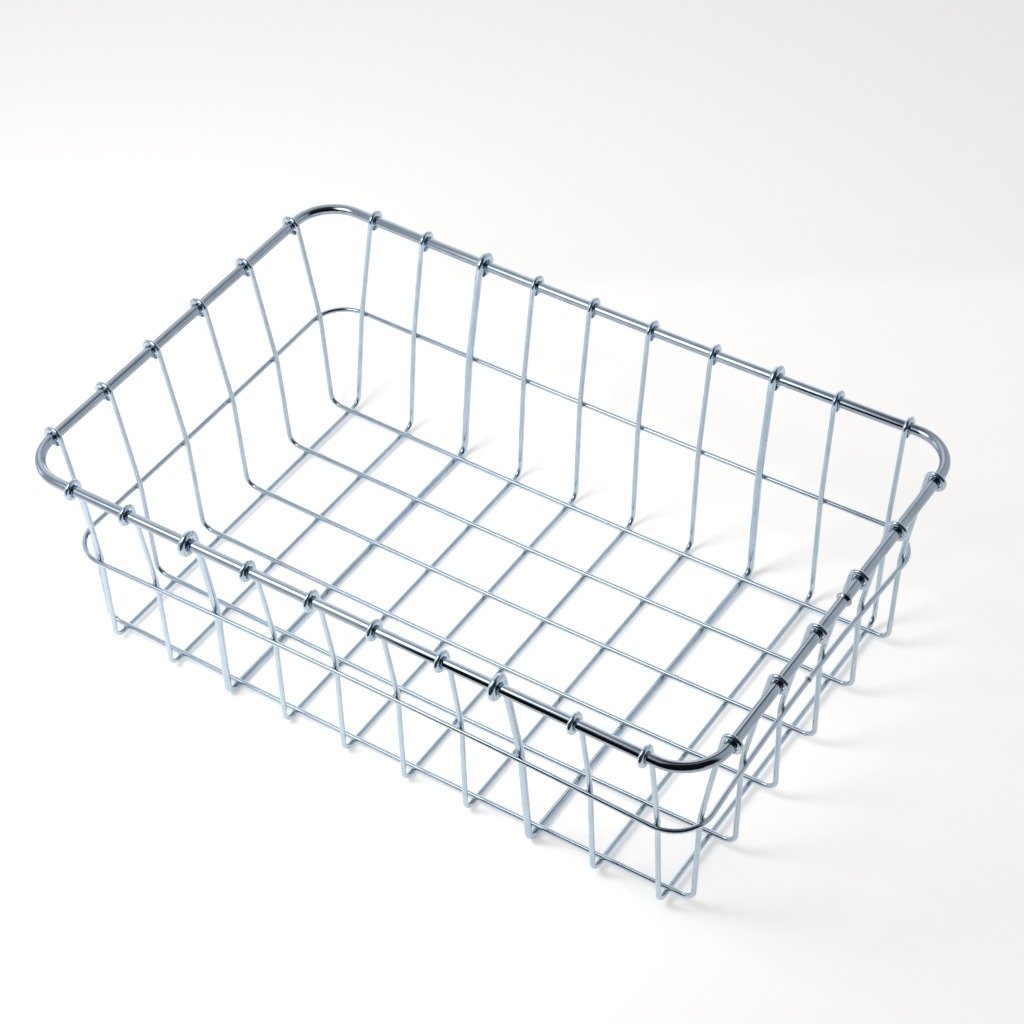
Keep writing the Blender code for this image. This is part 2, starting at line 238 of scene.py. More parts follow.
glare = add_node(sheet, "ShaderNodeMapRange", fading, interpolation_type="SMOOTHSTEP").outputs[0]
glare = {0: glare, 1: rays["Is Camera Ray"]}
glare = add_node(sheet, "ShaderNodeMath", glare, operation="MULTIPLY").outputs[0]
lift = {0: seen, 1: PAPER_OWN_LIGHT, 2: glare}
lift = add_node(sheet, "ShaderNodeMath", lift, operation="MULTIPLY_ADD").outputs[0]
matt = add_node(sheet, "ShaderNodeBsdfDiffuse", {"Color": tone}).outputs[0]
glow = add_node(sheet, "ShaderNodeEmission", {"Color": tone, "Strength": lift}).outputs[0]
both = add_node(sheet, "ShaderNodeAddShader", {0: matt, 1: glow}).outputs[0]
add_node(sheet, "ShaderNodeOutputMaterial", {"Surface": both})

corners = [(x * PAPER_REACH, y * PAPER_REACH, 0.0) for x, y in ((-1, -1), (1, -1), (1, 1), (-1, 1))]
sheet_mesh = bpy.data.meshes.new("paper")
sheet_mesh.from_pydata(corners, [], [(0, 1, 2, 3)])
sheet_mesh.materials.append(paper)
table = bpy.data.objects.new("paper", sheet_mesh)
bpy.context.scene.collection.objects.link(table)
print("paper begins to rise", round(1000 * SWEEP_AT), "mm behind the middle of the basket")

# %% [markdown]
# ## Cards near the basket
#
# Three things stood so near that each stretch of wire mirrors them in another place: the key
# lamp, a black card that keeps glare off the right half of the front rim, and a dark beam
# overhead, which draws the thin dark line along the two end rods. A region of the world is the
# same from everywhere, so these are real cards. They are seen by reflections alone and cast no
# shadow, and their edges fade, as an edge of a soft lamp does.

# %% Cards
def hang_card(name, low, high, left, right, soft, brightness):
    """A flat card between two edges along X, each given as place along Y and height. How much of
    it shows at a point is a smooth step from each of its four edges, whose half width soft gives
    along X and across."""
    low, high = Vector((0.0, *low)), Vector((0.0, *high))
    rise = (high - low).normalized()
    near, far = (low - soft[1] * rise).yz, (high + soft[1] * rise).yz
    begin, end = left - soft[0], right + soft[0]
    data = bpy.data.meshes.new(name)
    data.from_pydata([(begin, *near), (end, *near), (end, *far), (begin, *far)], [], [(0, 1, 2, 3)])
    look = bpy.data.materials.new(name)
    look.use_nodes = True
    tree = look.node_tree
    tree.nodes.clear()
    spot = add_node(tree, "ShaderNodeTexCoord").outputs["Object"]
    shows = 1.0
    for way, edge, fade in ((Vector((1, 0, 0)), left, soft[0]), (Vector((-1, 0, 0)), -right, soft[0]),
                            (rise, rise @ low, soft[1]), (-rise, -rise @ high, soft[1])):
        along = add_node(tree, "ShaderNodeVectorMath", {0: spot, 1: way}, operation="DOT_PRODUCT")
        inside = {"Value": along.outputs["Value"], "From Min": edge - fade, "From Max": edge + fade}
        step = add_node(tree, "ShaderNodeMapRange", inside, interpolation_type="SMOOTHSTEP").outputs[0]
        shows = add_node(tree, "ShaderNodeMath", {0: shows, 1: step}, operation="MULTIPLY").outputs[0]
    glow = add_node(tree, "ShaderNodeEmission", {"Strength": brightness}).outputs[0]
    clear = add_node(tree, "ShaderNodeBsdfTransparent").outputs[0]
    both = add_node(tree, "ShaderNodeMixShader", {0: shows, 1: clear, 2: glow}).outputs[0]
    add_node(tree, "ShaderNodeOutputMaterial", {"Surface": both})
    data.materials.append(look)
    card = bpy.data.objects.new(name, data)
    bpy.context.scene.collection.objects.link(card)
    card.visible_camera = card.visible_diffuse = card.visible_shadow = card.visible_transmission = False


hang_card("lamp_card", low=KEY_LOW, high=KEY_HIGH, left=KEY_LEFT, right=KEY_RIGHT,
          soft=(0.069, 0.064), brightness=3.6)
hang_card("black_card", low=(-0.342, 0.0), high=(-0.342, 0.375), left=-0.080, right=0.700,
          soft=(0.018, 0.023), brightness=0.010)
hang_card("beam_card", low=(-0.193, 0.637), high=(0.452, 0.637), left=-0.046, right=0.184,
          soft=(0.107, 0.173), brightness=0.057)

# %% [markdown]
# ## The sizes of the wires
#
# Everything hangs on a few diameters and on the middle lines of the wires, in metres. They are
# the same numbers as the CAD model's, repeated here because this script reads nothing but the
# frame. A maker would find most of them on the drawing: three wire gauges, the size of the rim
# and the bends. The rest is what the welding did to a true grid: each hook was closed a little
# to one side, and as the welds cooled they drew the sides in and let the floor sag by two or
# three millimetres. Without these the picture looks like a drawing of a basket.

# %% Sizes
RIM_ROD, HEAVY_WIRE, THIN_WIRE = 0.0053, 0.0037, 0.0026
WELD_GAP = 0.0003
RIM_LENGTH, RIM_WIDTH, RIM_HEIGHT, RIM_CORNER = 0.3698, 0.2402, 0.1214, 0.0225
CROSS_COUNT, LONG_COUNT, HEAVY_NUMBERS = 10, 6, (3, 8)
CROSS_HOOK_INSET, LONG_HOOK_INSET = 0.0050, 0.0027
LONG_WIRE_SHIFT, CROSS_WIRE_SHIFT, CROSS_WIRE_SKEW = -0.0012, -0.0013, -0.0008
FLOOR_BEND, WALL_BEND = 0.0060, 0.0400
BAND_HEIGHT, BAND_CORNER = 0.0642, 0.0190
LONG_WALL_LAND, END_WALL_LAND, LONG_WALL_LEAN, END_WALL_LEAN = 0.0002, 0.0022, 0.0037, 0.0025
FLOOR_SAG, RIM_BOW_BACK = 0.0023, 0.0020
BAND_BOW_RIGHT, BAND_BOW_BACK, BAND_BOW_LEFT, BAND_BOW_FRONT = 0.0027, 0.0011, 0.0006, 0.0020
HOOK_OPENING = 0.0008
# How far hooks were closed to one side, as shares of the pitch of their wires.
FRONT_HOOK_SLIDE = {1: 0.12, 2: 0.043, 3: 0.066, 4: 0.034, 5: 0.049, 6: 0.031, 7: 0.054, 8: -0.12}
BACK_HOOK_SLIDE = {1: 0.212, 2: 0.143, 3: 0.18, 4: 0.089, 5: 0.046, 6: 0.02, 7: 0.026, 9: -0.054}
LEFT_HOOK_SLIDE = {3: -0.034, 4: -0.045, 5: -0.053}
RIGHT_HOOK_SLIDE = {1: 0.024, 2: 0.074, 4: 0.021, 5: -0.024, 6: -0.016}

# %% [markdown]
# ## The grid that follows from them
#
# The wires are spread evenly between the round corners of the rim, so their pitch needs no
# number of its own. The walls stand where the floor bends end, and the band lies just outside
# them. Worked out in this order, every piece still meets its neighbours when a size changes.

# %% Grid
LONG_WIRE_HEIGHT = HEAVY_WIRE + WELD_GAP + THIN_WIRE / 2
CROSS_REACH = RIM_LENGTH / 2 - RIM_CORNER - CROSS_HOOK_INSET
LONG_REACH = RIM_WIDTH / 2 - RIM_CORNER - LONG_HOOK_INSET
CROSS_PITCH = 2 * CROSS_REACH / (CROSS_COUNT - 1)
LONG_PITCH = 2 * LONG_REACH / (LONG_COUNT - 1)
CROSS_PLACES = {number: (number - (CROSS_COUNT + 1) / 2) * CROSS_PITCH
                for number in range(1, CROSS_COUNT + 1)}
LONG_PLACES = {number: (number - (LONG_COUNT + 1) / 2) * LONG_PITCH + LONG_WIRE_SHIFT
               for number in range(1, LONG_COUNT + 1)}
OUTER_CROSS_EDGE = CROSS_REACH + abs(CROSS_WIRE_SHIFT) + abs(CROSS_WIRE_SKEW) + THIN_WIRE / 2
OUTER_LONG_EDGE = LONG_REACH + abs(LONG_WIRE_SHIFT) + THIN_WIRE / 2
END_WALL_FOOT = OUTER_CROSS_EDGE + END_WALL_LAND + FLOOR_BEND + THIN_WIRE / 2
LONG_WALL_FOOT = OUTER_LONG_EDGE + LONG_WALL_LAND + FLOOR_BEND + THIN_WIRE / 2
END_WALL_WAIST = END_WALL_FOOT + END_WALL_LEAN
LONG_WALL_WAIST = LONG_WALL_FOOT + LONG_WALL_LEAN
BAND_HALF_LENGTH = END_WALL_WAIST + WELD_GAP + THIN_WIRE / 2
BAND_HALF_WIDTH = LONG_WALL_WAIST + WELD_GAP + THIN_WIRE / 2
RIM_REACH = RIM_LENGTH / 2 - RIM_CORNER
BAND_REACH_ALONG, BAND_REACH_ACROSS = BAND_HALF_LENGTH - BAND_CORNER, BAND_HALF_WIDTH - BAND_CORNER
print("grid pitch in mm", round(1000 * CROSS_PITCH, 2), "by", round(1000 * LONG_PITCH, 2))

# %% [markdown]
# ## Bends
#
# A wire bent on a former is straight runs joined by true arcs. So each middle line is drawn the
# way it is bent: in the flat plane of its wall, as an arc at the floor, a slight one at the
# band, and nearly a full turn round the rim. Splines would be quicker to draw but would soften
# the straight runs, and the eye sees that at once in a grid.

# %% Arcs and hooks
ARC_STEP = math.radians(7.5)


def unit(vector):
    """The vector divided by its own length."""
    return vector / np.linalg.norm(vector, axis=-1, keepdims=True)


def turned(vector, angles):
    """The flat vector turned by each angle: its part along X shrinks with the cosine while its
    part along Y grows with the sine."""
    cosine, sine = np.cos(angles), np.sin(angles)
    return np.stack([vector[0] * cosine - vector[1] * sine, vector[0] * sine + vector[1] * cosine], axis=-1)


def arc(centre, start, turn):
    """Points from start through the angle turn, each the centre plus the turned spoke."""
    steps = max(2, math.ceil(abs(turn) / ARC_STEP))
    return centre + turned(start - centre, np.linspace(0.0, turn, steps + 1))


def rounded_corner(before, corner, after, radius):
    """The arc of that radius that touches both sides of a corner. Its ends lie radius over the
    tangent of half the corner's angle away from it."""
    back, onward = unit(before - corner), unit(after - corner)
    half_angle = math.acos(float(back @ onward)) / 2
    start = corner + back * radius / math.tan(half_angle)
    centre = corner + unit(back + onward) * radius / math.sin(half_angle)
    turn = math.pi - 2 * half_angle
    return arc(centre, start, turn if onward[0] * back[1] > onward[1] * back[0] else -turn)


def hook(foot, rim_middle, wire):
    """Nearly a full turn round the rim, for a wall that comes up from foot inside it: over the
    rim, down its outside and back under it, until a small opening is left to the wall."""
    radius = RIM_ROD / 2 + WELD_GAP + wire / 2
    upward = rim_middle - foot
    sine = radius / np.linalg.norm(upward)
    upward = unit(upward)
    inward = np.array([-upward[1], upward[0]])
    start = rim_middle + radius * (math.sqrt(1 - sine * sine) * inward - sine * upward)
    left_open = math.acos((radius - wire / 2 - HOOK_OPENING) / (radius + wire / 2))
    return arc(rim_middle, start, left_open - 2 * math.pi)


print("a thin wire's hook turns at", round(1000 * (RIM_ROD / 2 + WELD_GAP + THIN_WIRE / 2), 2), "mm")

# %% [markdown]
# ## Sides that welding drew in
#
# A side that was drawn in lies furthest in at its middle, and not at all at its ends. A
# parabola says that with one number, the depth measured in the photograph, where a spline
# would need a row of places for each side. The sag of the floor is a parabola too.

# %% Bows and sag
def bow(place, reach, depth):
    """How far a side is drawn in at a place: its full depth in the middle, less that depth times
    the square of the place over the reach."""
    return depth * (1 - (np.asarray(place) / reach) ** 2)


def drawn_in(place, reach, depth):
    """How far in the band lies at a place: by its bow, and past reach by the start of its round
    corner, which is the corner's radius less the other leg of a right triangle."""
    past = np.maximum(np.abs(place) - reach, 0.0)
    cut = BAND_CORNER - np.sqrt(BAND_CORNER ** 2 - past ** 2)
    return np.where(past > 0.0, cut, bow(place, reach, depth))


def floor_rise(place):
    """How much higher the sagging floor is at a place than at the heavy wires it stands on."""
    heavy_place = CROSS_PLACES[HEAVY_NUMBERS[-1]]
    return bow(heavy_place, END_WALL_FOOT, FLOOR_SAG) - bow(place, END_WALL_FOOT, FLOOR_SAG)


print("floor ends rise by", round(1000 * float(floor_rise(END_WALL_FOOT)), 2), "mm over the heavy wires")

# %% [markdown]
# ## Middle lines
#
# Both kinds of wire are two walls with a floor between, so one function bends half a wire, from
# the floor to the tip of its hook, and each kind puts two halves together. The long wires lie
# on the cross wires, so their floor runs through the ten crossings and follows the sag.

# %% Middle lines
def half_wire(wire, floor, foot, foot_height, waist, rim_half, at_floor, at_hook):
    """Half a wire from the floor to the tip of its hook, as rows of place along the rim,
    distance out and height. On its way up the wire leans evenly from at_floor to at_hook."""
    floor, corner = np.asarray(floor, float), np.array([foot - wire / 2, foot_height])
    at_band = np.array([waist - wire / 2, BAND_HEIGHT])
    hooked = hook(at_band, np.array([rim_half, RIM_HEIGHT]), wire)
    wall = np.vstack([rounded_corner(floor, corner, at_band, FLOOR_BEND),
                      rounded_corner(corner, at_band, hooked[0], WALL_BEND), hooked])
    share = np.clip((wall[:, 1] - wall[0, 1]) / (hooked[0, 1] - wall[0, 1]), 0.0, 1.0)
    share[-len(hooked):] = 1.0
    return np.column_stack([at_floor + (at_hook - at_floor) * share, wall])


def cross_wire_line(number):
    """Middle line of a cross wire, from its front hook to its back hook, and its diameter."""
    wire = HEAVY_WIRE if number in HEAVY_NUMBERS else THIN_WIRE
    place = CROSS_PLACES[number]
    height = HEAVY_WIRE - wire / 2 + float(floor_rise(place))

    def half(at_floor, at_hook, band_bow, rim_bow):
        waist = LONG_WALL_WAIST - float(drawn_in((at_floor + at_hook) / 2, BAND_REACH_ALONG, band_bow))
        rim_half = RIM_WIDTH / 2 - bow(at_hook, RIM_REACH, rim_bow)
        return half_wire(wire, (0.0, height), LONG_WALL_FOOT, height, waist, rim_half, at_floor, at_hook)

    at_floor = place + CROSS_WIRE_SHIFT
    at_front = place + FRONT_HOOK_SLIDE.get(number, 0.0) * CROSS_PITCH
    at_back = place + BACK_HOOK_SLIDE.get(number, 0.0) * CROSS_PITCH
    front = half(at_floor + CROSS_WIRE_SKEW, at_front, BAND_BOW_FRONT, 0.0)
    back = half(at_floor, at_back, BAND_BOW_BACK, RIM_BOW_BACK)
    return np.vstack([front[::-1] * (1, -1, 1), back]), wire


def floor_crossings(place):
    """Where the long wire at that place lies on the ten cross wires: rows of place along the rim
    and height of the long wire's middle."""
    share = (LONG_WALL_FOOT + place) / (2 * LONG_WALL_FOOT)
    crossed = np.array(list(CROSS_PLACES.values()))
    aside = CROSS_WIRE_SHIFT + CROSS_WIRE_SKEW * (1 - share)
    return np.column_stack([crossed + aside, LONG_WIRE_HEIGHT + floor_rise(crossed)])


def long_wire_line(number):
    """Middle line of a long wire, from its left hook to its right hook, and its diameter."""
    place = LONG_PLACES[number]
    crossings = floor_crossings(place)
    foot_height = LONG_WIRE_HEIGHT + float(floor_rise(END_WALL_FOOT))

    def half(floor, at_hook, band_bow):
        waist = END_WALL_WAIST - float(drawn_in((place + at_hook) / 2, BAND_REACH_ACROSS, band_bow))
        return half_wire(THIN_WIRE, floor, END_WALL_FOOT, foot_height, waist, RIM_LENGTH / 2, place, at_hook)

    at_left = place + LEFT_HOOK_SLIDE.get(number, 0.0) * LONG_PITCH
    at_right = place + RIGHT_HOOK_SLIDE.get(number, 0.0) * LONG_PITCH
    left = half(crossings[0] * (-1, 1), at_left, BAND_BOW_LEFT)
    right = half(crossings[-1], at_right, BAND_BOW_RIGHT)
    floor = np.column_stack([crossings[:, 0], np.full(CROSS_COUNT, place), crossings[:, 1]])
    return np.vstack([left[::-1][:, (1, 0, 2)] * (-1, 1, 1), floor, right[:, (1, 0, 2)]]), THIN_WIRE


CROSS_LINES = {number: cross_wire_line(number) for number in range(1, CROSS_COUNT + 1)}
LONG_LINES = {number: long_wire_line(number) for number in range(1, LONG_COUNT + 1)}
print("points on a cross wire", len(CROSS_LINES[1][0]), "and on a long wire", len(LONG_LINES[1][0]))

# %% [markdown]
# ## A round wire along a line
#
# A wire is a circle carried along its middle line. At each point of the line the circle stands
# square to it, so two directions across are needed there. A curve object would carry them along
# by itself and twist a little at each bend, while here every wire lies very nearly in one plane:
# the direction across that plane serves for the whole wire, which keeps drawn lines along it
# straight. The result is a grid of two parameters, the angle round the wire and the distance
# along it. Both are kept as a UV map in metres, so that the finish can run along the wire.

# %% Tube surface
THIN_SIDES, HEAVY_SIDES, RIM_SIDES = 24, 28, 48


def wire_surface(line, radii, across, sides, closed):
    """Points and faces of a tube: each point is the line's point plus its radius times the
    cosine of the angle round along one direction across, plus the sine along the other.
    Returns vertices, four-sided faces, caps, and for each face corner its distance round the
    wire and its distance along it."""
    step = np.diff(np.vstack([line, line[:1]]) if closed else line, axis=0)
    length = np.linalg.norm(step, axis=1)
    way = unit(step)
    if closed:
        tangent = unit(way + np.roll(way, 1, axis=0))
    else:
        tangent = unit(np.vstack([way[:1], way[1:] + way[:-1], way[-1:]]))
    side = unit(across - tangent * (tangent @ across)[:, None])
    other = np.cross(tangent, side)
    angle = np.arange(sides) * 2 * math.pi / sides
    ring = np.cos(angle)[None, :, None] * side[:, None] + np.sin(angle)[None, :, None] * other[:, None]
    vertices = (line[:, None] + radii[:, None, None] * ring).reshape(-1, 3)
    rows = len(line)
    row, column = np.meshgrid(np.arange(rows if closed else rows - 1), np.arange(sides), indexing="ij")
    next_row, next_column = (row + 1) % rows, (column + 1) % sides
    faces = np.stack([row * sides + column, row * sides + next_column,
                      next_row * sides + next_column, next_row * sides + column], axis=-1).reshape(-1, 4)
    along = np.concatenate([[0.0], np.cumsum(length)])
    arc_length = angle[1] * radii.max()
    round_wire = np.stack([column, column + 1, column + 1, column], axis=-1) * arc_length
    along_wire = np.stack([along[row], along[row], along[row + 1], along[row + 1]], axis=-1)
    corners = np.stack([round_wire, along_wire], axis=-1).reshape(-1, 2)
    caps = [] if closed else [tuple(range(sides))[::-1], tuple(range((rows - 1) * sides, rows * sides))]
    return vertices, faces, caps, corners


flat_depth = THIN_WIRE / 2 * (1 - math.cos(math.pi / THIN_SIDES))
print("the flats of a thin wire lie up to", round(1e6 * flat_depth), "micrometres inside its circle")

# %% [markdown]
# ## Cut ends and short steps
#
# The cut ends of the hooks are flat with a broken edge, as a wire cutter and a tumbling drum
# leave them. That takes one more ring near each end, and a smaller one at the end itself. The
# straight runs have only two points each, which is enough for their shape. The finish changes
# near the welds, though, and what is kept at points can only change from point to point, so
# the runs are cut into short steps.

# %% Cut ends and short steps
CHAMFER = 0.00022
STRAIGHT_STEP = 0.003
LONGEST_STEP = 1.3 * STRAIGHT_STEP


def cut_ends(line, radius):
    """The line with one point more near each end, and radii that shrink over that last bit."""
    first = line[0] + unit(line[1] - line[0]) * CHAMFER
    last = line[-1] + unit(line[-2] - line[-1]) * CHAMFER
    drawn = np.vstack([line[:1], first, line[1:-1], last, line[-1:]])
    radii = np.full(len(drawn), radius)
    radii[[0, -1]] = radius - CHAMFER
    return drawn, radii


def subdivided(line):
    """The line with its long straight steps cut into equal short ones."""
    steps = np.diff(line, axis=0)
    length = np.linalg.norm(steps, axis=1)
    counts = np.where(length > LONGEST_STEP, np.ceil(length / STRAIGHT_STEP), 1).astype(int)
    first = np.repeat(np.arange(len(steps)), counts)
    within = np.arange(counts.sum()) - np.repeat(np.cumsum(counts) - counts, counts)
    points = line[first] + steps[first] * (within / counts[first])[:, None]
    return np.vstack([points, line[-1:]])


print("a long wire in short steps has", len(subdivided(LONG_LINES[1][0])), "points")

# %% [markdown]
# ## Spot welds
#
# Where two wires cross they were squeezed between electrodes and fused, and a little metal
# comes out round the joint. Up close that is a low lens of metal between the wires, wider than
# the joint and just proud of both. A boolean union with a fillet would be closer still but
# needs a heavy mesh at 92 places. A flattened ball that sinks into both wires looks the same
# from a hand's breadth away, and all the balls of one wire are made in one go by adding every
# centre to the same set of points.

# %% Weld beads
BEAD_RADIUS, BEAD_HALF_HEIGHT = 0.00150, 0.00085
BEAD_COLUMNS, BEAD_ROWS = 14, 7
# Any direction that no bead faces, to start its first column from.
BEAD_START = (0.3, 0.5, 0.8)


def bead_surface(centres, normal):
    """Flattened balls round the centres: a point at latitude a and longitude b lies the cosine of
    a times the bead's radius out, and the sine of a times its half height along the normal."""
    normal = unit(np.asarray(normal, float))
    first = unit(np.cross(normal, BEAD_START))
    second = np.cross(normal, first)
    latitude = np.linspace(-math.pi / 2, math.pi / 2, BEAD_ROWS + 1)[1:-1]
    longitude = np.arange(BEAD_COLUMNS) * 2 * math.pi / BEAD_COLUMNS
    out = np.cos(longitude)[:, None] * first + np.sin(longitude)[:, None] * second
    belt = (np.cos(latitude)[:, None, None] * BEAD_RADIUS * out[None]
            + np.sin(latitude)[:, None, None] * BEAD_HALF_HEIGHT * normal)
    poles = np.stack([-normal, normal]) * BEAD_HALF_HEIGHT
    ball = np.vstack([belt.reshape(-1, 3), poles])
    row, column = np.meshgrid(np.arange(BEAD_ROWS - 2), np.arange(BEAD_COLUMNS), indexing="ij")
    after = (column + 1) % BEAD_COLUMNS
    here, above = row * BEAD_COLUMNS, (row + 1) * BEAD_COLUMNS
    quads = np.stack([here + column, here + after, above + after, above + column], axis=-1).reshape(-1, 4)
    column, after = column[0], after[0]
    top = (BEAD_ROWS - 2) * BEAD_COLUMNS
    fans = np.vstack([np.stack([np.full_like(column, len(ball) - 2), after, column], axis=-1),
                      np.stack([np.full_like(column, len(ball) - 1), top + column, top + after], axis=-1)])
    shift = (np.arange(len(centres)) * len(ball))[:, None, None]
    vertices = (np.asarray(centres)[:, None] + ball).reshape(-1, 3)
    return vertices, (quads + shift).reshape(-1, 4), (fans + shift).reshape(-1, 3)


print("a weld bead is", round(2000 * BEAD_RADIUS, 1), "mm across")

# %% [markdown]
# ## Bright zinc plate
#
# The basket is drawn steel wire that was welded first and then electroplated with zinc, with a
# blue-clear passivation on top. To the eye that is a bright metal with a cool, slightly blue
# cast. On the thin wires the plate is satin and a trace milky, so its mirrored streaks are
# soft, and a thin clear film over it adds a second, sharper streak: that film is the shader's
# coat, and the trace of milk is a metal share a little under one. The thick rod was polished
# before plating and needs neither. The rollers that bent the wires pressed them smooth at the
# floor bends and at the hooks, which is why those show small hard sparks and dark cores, and
# the load that slides over the floor has polished that a little too.
#
# The wires keep faint lines from the drawing die, about a tenth of a millimetre apart. They
# are drawn here 0.3 mm apart, as finer ones would not show. The plate is also a little uneven,
# in cloudy patches some millimetres long, and each weld has left it duller and warmer beside
# it. A picture of scratches wrapped round each wire could do this, but noise worked out from
# the distances round and along the wire never repeats, and keeps its real scale.

# %% Zinc material
DRAWN_LINE_APART, DRAWN_LINE_LENGTH = 0.0003, 0.040
DRAWN_LINE_DEPTH, DRAWN_LINE_STRENGTH, DRAWN_LINE_DULLNESS = 0.00002, 0.35, 0.10
CLOUD_SIZE, CLOUD_EDGES = 0.009, (0.35, 0.65)
SPECK_SIZE, SPECK_EDGES = 0.0011, (0.72, 0.80)
# How far a weld or a speck turns the colour, and how much rougher a weld leaves the plate.
SPOILED_SHARE, WELD_DULLNESS = 0.35, 0.08
FILM_IOR, FILM_ROUGHNESS = 2.2, 0.12
# How smooth the wire was pressed, by height: each step begins and is full at a height, and has
# a share below it. Fully at the floor bends and at the hooks, and partly along the flat floor.
BURNISHED = 0.08
FLOOR_BEND_FROM, FLOOR_BEND_TO = (0.0066, 0.0076, 0.4), (0.0130, 0.0110, 0.0)
HOOKS_FROM = (0.1125, 0.1150, 0.0)


def bright_zinc(name, pale, deep, scorched, roughness, film, metal):
    """Zinc plate on drawn steel: a metal whose colour drifts between pale and deep in clouds and
    turns towards scorched at the welds, with drawn lines that run along the wire. Its roughness
    is the plate's own, more at a weld and in a drawn line, and least where a bend was pressed."""
    plate = bpy.data.materials.new(name)
    plate.use_nodes = True
    tree = plate.node_tree
    shader = tree.nodes["Principled BSDF"]
    shader.inputs["Metallic"].default_value = metal
    shader.inputs["Coat Weight"].default_value = film
    shader.inputs["Coat Roughness"].default_value = FILM_ROUGHNESS
    shader.inputs["Coat IOR"].default_value = FILM_IOR
    on_wire = add_node(tree, "ShaderNodeUVMap", uv_map="wire").outputs["UV"]
    in_space = add_node(tree, "ShaderNodeTexCoord").outputs["Object"]
    lines = add_node(tree, "ShaderNodeMapping", {
        "Vector": on_wire, "Scale": (1 / DRAWN_LINE_APART, 1 / DRAWN_LINE_LENGTH, 1.0)}).outputs[0]
    lines = add_node(tree, "ShaderNodeTexNoise", {
        "Vector": lines, "Scale": 1.0, "Detail": 3.0, "Roughness": 0.6}).outputs[0]
    clouds = add_node(tree, "ShaderNodeTexNoise", {
        "Vector": in_space, "Scale": 1 / CLOUD_SIZE, "Detail": 4.0, "Roughness": 0.55}).outputs[0]
    clouds = add_node(tree, "ShaderNodeMapRange", {
        "Value": clouds, "From Min": CLOUD_EDGES[0], "From Max": CLOUD_EDGES[1]}).outputs[0]
    specks = add_node(tree, "ShaderNodeTexNoise", {
        "Vector": in_space, "Scale": 1 / SPECK_SIZE, "Detail": 1.0}).outputs[0]
    specks = add_node(tree, "ShaderNodeMapRange", {
        "Value": specks, "From Min": SPECK_EDGES[0], "From Max": SPECK_EDGES[1]},
        interpolation_type="SMOOTHSTEP").outputs[0]
    heat = add_node(tree, "ShaderNodeAttribute", attribute_name="weld_heat").outputs["Fac"]

    tint = {MIX_SHARE: clouds, MIX_FIRST: linear(pale), MIX_SECOND: linear(deep)}
    tint = add_node(tree, "ShaderNodeMix", tint, data_type="RGBA").outputs[MIXED]
    spoiled = add_node(tree, "ShaderNodeMath", {0: heat, 1: specks}, operation="MAXIMUM").outputs[0]
    spoiled = {0: spoiled, 1: SPOILED_SHARE}
    spoiled = add_node(tree, "ShaderNodeMath", spoiled, operation="MULTIPLY").outputs[0]
    tint = {MIX_SHARE: spoiled, MIX_FIRST: tint, MIX_SECOND: linear(scorched)}
    tint = add_node(tree, "ShaderNodeMix", tint, data_type="RGBA").outputs[MIXED]

    height = add_node(tree, "ShaderNodeSeparateXYZ", {0: in_space}).outputs["Z"]
    steps = []
    for begins, full, below in (FLOOR_BEND_FROM, FLOOR_BEND_TO, HOOKS_FROM):
        step_settings = {"Value": height, "From Min": begins, "From Max": full, "To Min": below}
        step = add_node(tree, "ShaderNodeMapRange", step_settings, interpolation_type="SMOOTHSTEP")
        steps.append(step.outputs[0])
    pressed = add_node(tree, "ShaderNodeMath", {0: steps[0], 1: steps[1]}, operation="MULTIPLY")
    pressed = {0: pressed.outputs[0], 1: steps[2]}
    pressed = add_node(tree, "ShaderNodeMath", pressed, operation="MAXIMUM").outputs[0]
    dull = roughness - DRAWN_LINE_DULLNESS / 2
    for cause, change in ((heat, WELD_DULLNESS), (lines, DRAWN_LINE_DULLNESS),
                          (pressed, BURNISHED - roughness)):
        dull = {0: cause, 1: change, 2: dull}
        dull = add_node(tree, "ShaderNodeMath", dull, operation="MULTIPLY_ADD").outputs[0]
    relief = add_node(tree, "ShaderNodeBump", {
        "Height": lines, "Strength": DRAWN_LINE_STRENGTH, "Distance": DRAWN_LINE_DEPTH}).outputs[0]
    for socket, source in (("Base Color", tint), ("Roughness", dull), ("Normal", relief)):
        tree.links.new(source, shader.inputs[socket])
    return plate


print("drawn lines round a thin wire:", round(math.pi * THIN_WIRE / DRAWN_LINE_APART))

# %% [markdown]
# ## The five plates
#
# Rod and wires went through the same bath but did not come out the same: the thick rod is dark
# and mirror-like, the band keeps more gloss than the grid, and the heavy wires a little more
# than the thin ones. So each slot of the record has its own plate, with its own pale and deep
# tone, its own roughness, how much clear film it shows and its share of metal.

# %% Plates
PLATES = {
    "rim_zinc": bright_zinc("bright_zinc_on_rim_rod", pale="A8B4C0", deep="9CA8B4", scorched="8A8886",
                            roughness=0.08, film=0.0, metal=1.0),
    "band_zinc": bright_zinc("bright_zinc_on_band_wire", pale="A7BACA", deep="99ADBE", scorched="8E8E8C",
                             roughness=0.15, film=1.0, metal=0.97),
    "cross_wire_zinc": bright_zinc("bright_zinc_on_cross_wires", pale="B0C8D8", deep="A2BACC",
                                   scorched="908F8C", roughness=0.30, film=1.0, metal=0.93),
    "heavy_wire_zinc": bright_zinc("bright_zinc_on_heavy_wires", pale="AEC6D6", deep="A0B8CA",
                                   scorched="8E8E8C", roughness=0.26, film=1.0, metal=0.93),
    "long_wire_zinc": bright_zinc("bright_zinc_on_long_wires", pale="A8BCCC", deep="9AAFC0",
                                  scorched="908F8C", roughness=0.28, film=1.0, metal=0.94),
}
print("zinc finishes:", ", ".join(plate.name for plate in PLATES.values()))

